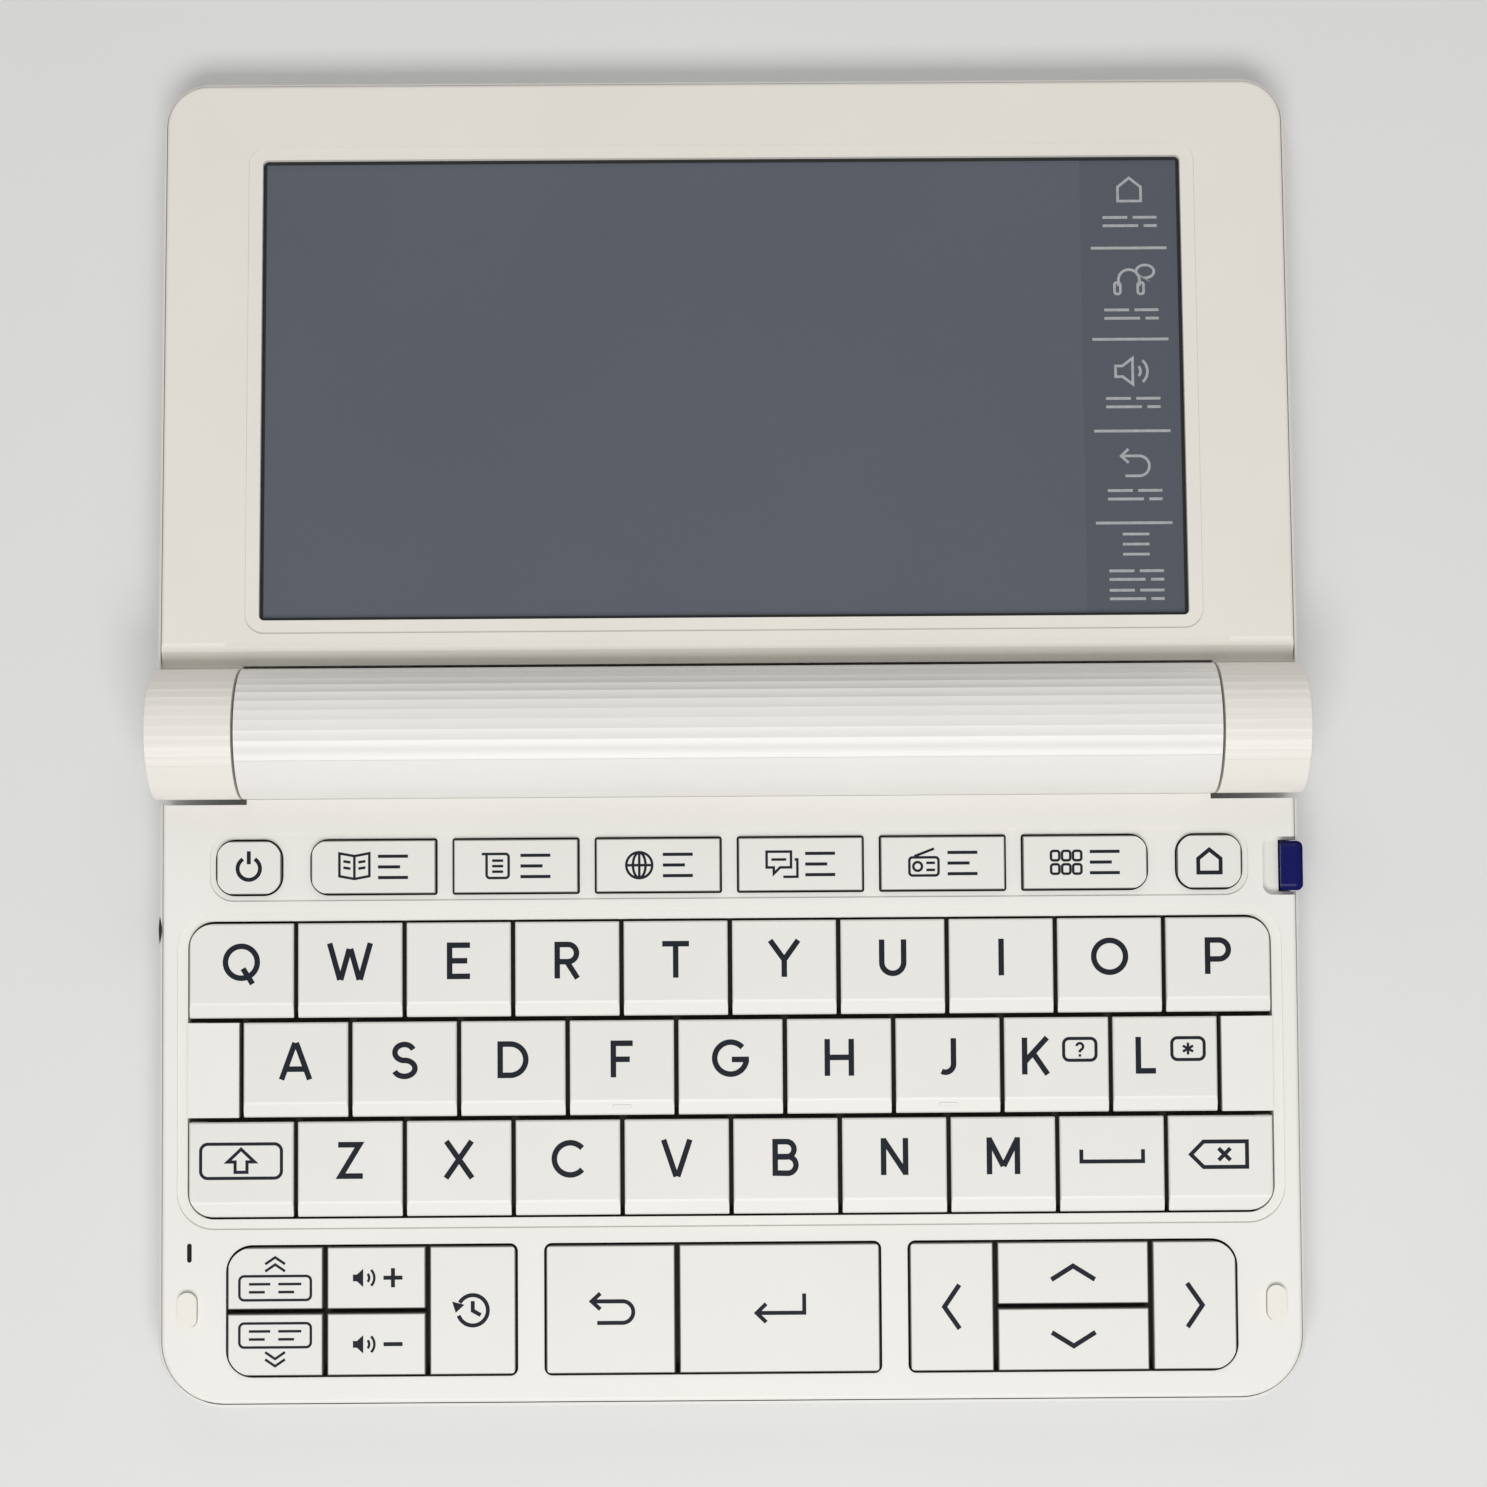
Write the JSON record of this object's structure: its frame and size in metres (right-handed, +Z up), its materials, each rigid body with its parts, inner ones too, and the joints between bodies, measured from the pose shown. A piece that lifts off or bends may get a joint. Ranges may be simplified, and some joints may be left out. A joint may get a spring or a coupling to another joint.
{
  "type": "electronic dictionary",
  "caption": "Clamshell pocket dictionary, open flat: letter keyboard, faceted battery barrel as the hinge, wide screen lid, touch pen and port cover.",
  "frame": {"origin": "on the table, midway between the sides and between the front edge of the base and the far edge of the open lid", "axes": "+X to the user's right, +Y from the user to the lid, +Z up from the table"},
  "size_m": [0.1457, 0.1701, 0.0179],
  "materials": {
    "case": "satin, fine-grained ABS",
    "panel": "satin, fine-grained ABS",
    "cells": "wrapped steel can",
    "electronics": "dark silicone mat over a board",
    "pen": "glossy dark blue",
    "pads": "soft rubber",
    "cover": "satin, fine-grained ABS",
    "screen": "dark touch panel over the display, switched off",
    "pins": "turned steel",
    "keys": "matte, smooth"
  },
  "bodies": {
    "base": {"bottom_case": "case", "keyboard_panel": "panel", "batteries": "cells", "circuit_board": "electronics", "rubber_pads": "pads"},
    "lid": {"lid_back_cover": "cover", "lid_bezel": "panel", "screen_module": "screen", "hinge_pins": "pins"},
    "battery_door": {"battery_door": "case"},
    "touch_pen": {"touch_pen": "pen"},
    "port_cover": {"port_cover": "panel"},
    "key_q": {"key_q": "keys"},
    "key_w": {"key_w": "keys"},
    "key_e": {"key_e": "keys"},
    "key_r": {"key_r": "keys"},
    "key_t": {"key_t": "keys"},
    "key_y": {"key_y": "keys"},
    "key_u": {"key_u": "keys"},
    "key_i": {"key_i": "keys"},
    "key_o": {"key_o": "keys"},
    "key_p": {"key_p": "keys"},
    "key_a": {"key_a": "keys"},
    "key_s": {"key_s": "keys"},
    "key_d": {"key_d": "keys"},
    "key_f": {"key_f": "keys"},
    "key_g": {"key_g": "keys"},
    "key_h": {"key_h": "keys"},
    "key_j": {"key_j": "keys"},
    "key_k": {"key_k": "keys"},
    "key_l": {"key_l": "keys"},
    "key_shift": {"key_shift": "keys"},
    "key_z": {"key_z": "keys"},
    "key_x": {"key_x": "keys"},
    "key_c": {"key_c": "keys"},
    "key_v": {"key_v": "keys"},
    "key_b": {"key_b": "keys"},
    "key_n": {"key_n": "keys"},
    "key_m": {"key_m": "keys"},
    "key_space": {"key_space": "keys"},
    "key_delete": {"key_delete": "keys"},
    "key_power": {"key_power": "keys"},
    "key_category_1": {"key_category_1": "keys"},
    "key_category_2": {"key_category_2": "keys"},
    "key_category_3": {"key_category_3": "keys"},
    "key_category_4": {"key_category_4": "keys"},
    "key_category_5": {"key_category_5": "keys"},
    "key_category_6": {"key_category_6": "keys"},
    "key_home": {"key_home": "keys"},
    "key_previous": {"key_previous": "keys"},
    "key_next": {"key_next": "keys"},
    "key_volume_up": {"key_volume_up": "keys"},
    "key_volume_down": {"key_volume_down": "keys"},
    "key_history": {"key_history": "keys"},
    "key_back": {"key_back": "keys"},
    "key_enter": {"key_enter": "keys"},
    "key_left": {"key_left": "keys"},
    "key_up": {"key_up": "keys"},
    "key_down": {"key_down": "keys"},
    "key_right": {"key_right": "keys"}
  },
  "joints": [
    {"name": "lid_hinge", "type": "hinge", "parent": "base", "child": "lid", "pos_m": [0, 0.0002, 0.0096], "axis": [1, 0, 0], "range_deg": [0, 182.8]},
    {"name": "battery_door_lift", "type": "slide", "parent": "base", "child": "battery_door", "axis": [0, 0, -1], "range_m": [0, 0.03]},
    {"name": "touch_pen_slide", "type": "slide", "parent": "base", "child": "touch_pen", "axis": [1, 0, 0], "range_m": [0, 0.095]},
    {"name": "port_cover_hinge", "type": "hinge", "parent": "base", "child": "port_cover", "pos_m": [0.0722, -0.0711, 0.0043], "axis": [0, 0, -1], "range_deg": [0, 95]},
    {"name": "key_q_press", "type": "slide", "parent": "base", "child": "key_q", "axis": [0, 0, -1], "range_m": [0, 0.0007], "stiffness_N_per_m": 200},
    {"name": "key_w_press", "type": "slide", "parent": "base", "child": "key_w", "axis": [0, 0, -1], "range_m": [0, 0.0007], "stiffness_N_per_m": 200},
    {"name": "key_e_press", "type": "slide", "parent": "base", "child": "key_e", "axis": [0, 0, -1], "range_m": [0, 0.0007], "stiffness_N_per_m": 200},
    {"name": "key_r_press", "type": "slide", "parent": "base", "child": "key_r", "axis": [0, 0, -1], "range_m": [0, 0.0007], "stiffness_N_per_m": 200},
    {"name": "key_t_press", "type": "slide", "parent": "base", "child": "key_t", "axis": [0, 0, -1], "range_m": [0, 0.0007], "stiffness_N_per_m": 200},
    {"name": "key_y_press", "type": "slide", "parent": "base", "child": "key_y", "axis": [0, 0, -1], "range_m": [0, 0.0007], "stiffness_N_per_m": 200},
    {"name": "key_u_press", "type": "slide", "parent": "base", "child": "key_u", "axis": [0, 0, -1], "range_m": [0, 0.0007], "stiffness_N_per_m": 200},
    {"name": "key_i_press", "type": "slide", "parent": "base", "child": "key_i", "axis": [0, 0, -1], "range_m": [0, 0.0007], "stiffness_N_per_m": 200},
    {"name": "key_o_press", "type": "slide", "parent": "base", "child": "key_o", "axis": [0, 0, -1], "range_m": [0, 0.0007], "stiffness_N_per_m": 200},
    {"name": "key_p_press", "type": "slide", "parent": "base", "child": "key_p", "axis": [0, 0, -1], "range_m": [0, 0.0007], "stiffness_N_per_m": 200},
    {"name": "key_a_press", "type": "slide", "parent": "base", "child": "key_a", "axis": [0, 0, -1], "range_m": [0, 0.0007], "stiffness_N_per_m": 200},
    {"name": "key_s_press", "type": "slide", "parent": "base", "child": "key_s", "axis": [0, 0, -1], "range_m": [0, 0.0007], "stiffness_N_per_m": 200},
    {"name": "key_d_press", "type": "slide", "parent": "base", "child": "key_d", "axis": [0, 0, -1], "range_m": [0, 0.0007], "stiffness_N_per_m": 200},
    {"name": "key_f_press", "type": "slide", "parent": "base", "child": "key_f", "axis": [0, 0, -1], "range_m": [0, 0.0007], "stiffness_N_per_m": 200},
    {"name": "key_g_press", "type": "slide", "parent": "base", "child": "key_g", "axis": [0, 0, -1], "range_m": [0, 0.0007], "stiffness_N_per_m": 200},
    {"name": "key_h_press", "type": "slide", "parent": "base", "child": "key_h", "axis": [0, 0, -1], "range_m": [0, 0.0007], "stiffness_N_per_m": 200},
    {"name": "key_j_press", "type": "slide", "parent": "base", "child": "key_j", "axis": [0, 0, -1], "range_m": [0, 0.0007], "stiffness_N_per_m": 200},
    {"name": "key_k_press", "type": "slide", "parent": "base", "child": "key_k", "axis": [0, 0, -1], "range_m": [0, 0.0007], "stiffness_N_per_m": 200},
    {"name": "key_l_press", "type": "slide", "parent": "base", "child": "key_l", "axis": [0, 0, -1], "range_m": [0, 0.0007], "stiffness_N_per_m": 200},
    {"name": "key_shift_press", "type": "slide", "parent": "base", "child": "key_shift", "axis": [0, 0, -1], "range_m": [0, 0.0007], "stiffness_N_per_m": 200},
    {"name": "key_z_press", "type": "slide", "parent": "base", "child": "key_z", "axis": [0, 0, -1], "range_m": [0, 0.0007], "stiffness_N_per_m": 200},
    {"name": "key_x_press", "type": "slide", "parent": "base", "child": "key_x", "axis": [0, 0, -1], "range_m": [0, 0.0007], "stiffness_N_per_m": 200},
    {"name": "key_c_press", "type": "slide", "parent": "base", "child": "key_c", "axis": [0, 0, -1], "range_m": [0, 0.0007], "stiffness_N_per_m": 200},
    {"name": "key_v_press", "type": "slide", "parent": "base", "child": "key_v", "axis": [0, 0, -1], "range_m": [0, 0.0007], "stiffness_N_per_m": 200},
    {"name": "key_b_press", "type": "slide", "parent": "base", "child": "key_b", "axis": [0, 0, -1], "range_m": [0, 0.0007], "stiffness_N_per_m": 200},
    {"name": "key_n_press", "type": "slide", "parent": "base", "child": "key_n", "axis": [0, 0, -1], "range_m": [0, 0.0007], "stiffness_N_per_m": 200},
    {"name": "key_m_press", "type": "slide", "parent": "base", "child": "key_m", "axis": [0, 0, -1], "range_m": [0, 0.0007], "stiffness_N_per_m": 200},
    {"name": "key_space_press", "type": "slide", "parent": "base", "child": "key_space", "axis": [0, 0, -1], "range_m": [0, 0.0007], "stiffness_N_per_m": 200},
    {"name": "key_delete_press", "type": "slide", "parent": "base", "child": "key_delete", "axis": [0, 0, -1], "range_m": [0, 0.0007], "stiffness_N_per_m": 200},
    {"name": "key_power_press", "type": "slide", "parent": "base", "child": "key_power", "axis": [0, 0, -1], "range_m": [0, 0.0007], "stiffness_N_per_m": 200},
    {"name": "key_category_1_press", "type": "slide", "parent": "base", "child": "key_category_1", "axis": [0, 0, -1], "range_m": [0, 0.0007], "stiffness_N_per_m": 200},
    {"name": "key_category_2_press", "type": "slide", "parent": "base", "child": "key_category_2", "axis": [0, 0, -1], "range_m": [0, 0.0007], "stiffness_N_per_m": 200},
    {"name": "key_category_3_press", "type": "slide", "parent": "base", "child": "key_category_3", "axis": [0, 0, -1], "range_m": [0, 0.0007], "stiffness_N_per_m": 200},
    {"name": "key_category_4_press", "type": "slide", "parent": "base", "child": "key_category_4", "axis": [0, 0, -1], "range_m": [0, 0.0007], "stiffness_N_per_m": 200},
    {"name": "key_category_5_press", "type": "slide", "parent": "base", "child": "key_category_5", "axis": [0, 0, -1], "range_m": [0, 0.0007], "stiffness_N_per_m": 200},
    {"name": "key_category_6_press", "type": "slide", "parent": "base", "child": "key_category_6", "axis": [0, 0, -1], "range_m": [0, 0.0007], "stiffness_N_per_m": 200},
    {"name": "key_home_press", "type": "slide", "parent": "base", "child": "key_home", "axis": [0, 0, -1], "range_m": [0, 0.0007], "stiffness_N_per_m": 200},
    {"name": "key_previous_press", "type": "slide", "parent": "base", "child": "key_previous", "axis": [0, 0, -1], "range_m": [0, 0.0007], "stiffness_N_per_m": 200},
    {"name": "key_next_press", "type": "slide", "parent": "base", "child": "key_next", "axis": [0, 0, -1], "range_m": [0, 0.0007], "stiffness_N_per_m": 200},
    {"name": "key_volume_up_press", "type": "slide", "parent": "base", "child": "key_volume_up", "axis": [0, 0, -1], "range_m": [0, 0.0007], "stiffness_N_per_m": 200},
    {"name": "key_volume_down_press", "type": "slide", "parent": "base", "child": "key_volume_down", "axis": [0, 0, -1], "range_m": [0, 0.0007], "stiffness_N_per_m": 200},
    {"name": "key_history_press", "type": "slide", "parent": "base", "child": "key_history", "axis": [0, 0, -1], "range_m": [0, 0.0007], "stiffness_N_per_m": 200},
    {"name": "key_back_press", "type": "slide", "parent": "base", "child": "key_back", "axis": [0, 0, -1], "range_m": [0, 0.0007], "stiffness_N_per_m": 200},
    {"name": "key_enter_press", "type": "slide", "parent": "base", "child": "key_enter", "axis": [0, 0, -1], "range_m": [0, 0.0007], "stiffness_N_per_m": 200},
    {"name": "key_left_press", "type": "slide", "parent": "base", "child": "key_left", "axis": [0, 0, -1], "range_m": [0, 0.0007], "stiffness_N_per_m": 200},
    {"name": "key_up_press", "type": "slide", "parent": "base", "child": "key_up", "axis": [0, 0, -1], "range_m": [0, 0.0007], "stiffness_N_per_m": 200},
    {"name": "key_down_press", "type": "slide", "parent": "base", "child": "key_down", "axis": [0, 0, -1], "range_m": [0, 0.0007], "stiffness_N_per_m": 200},
    {"name": "key_right_press", "type": "slide", "parent": "base", "child": "key_right", "axis": [0, 0, -1], "range_m": [0, 0.0007], "stiffness_N_per_m": 200}
  ]
}
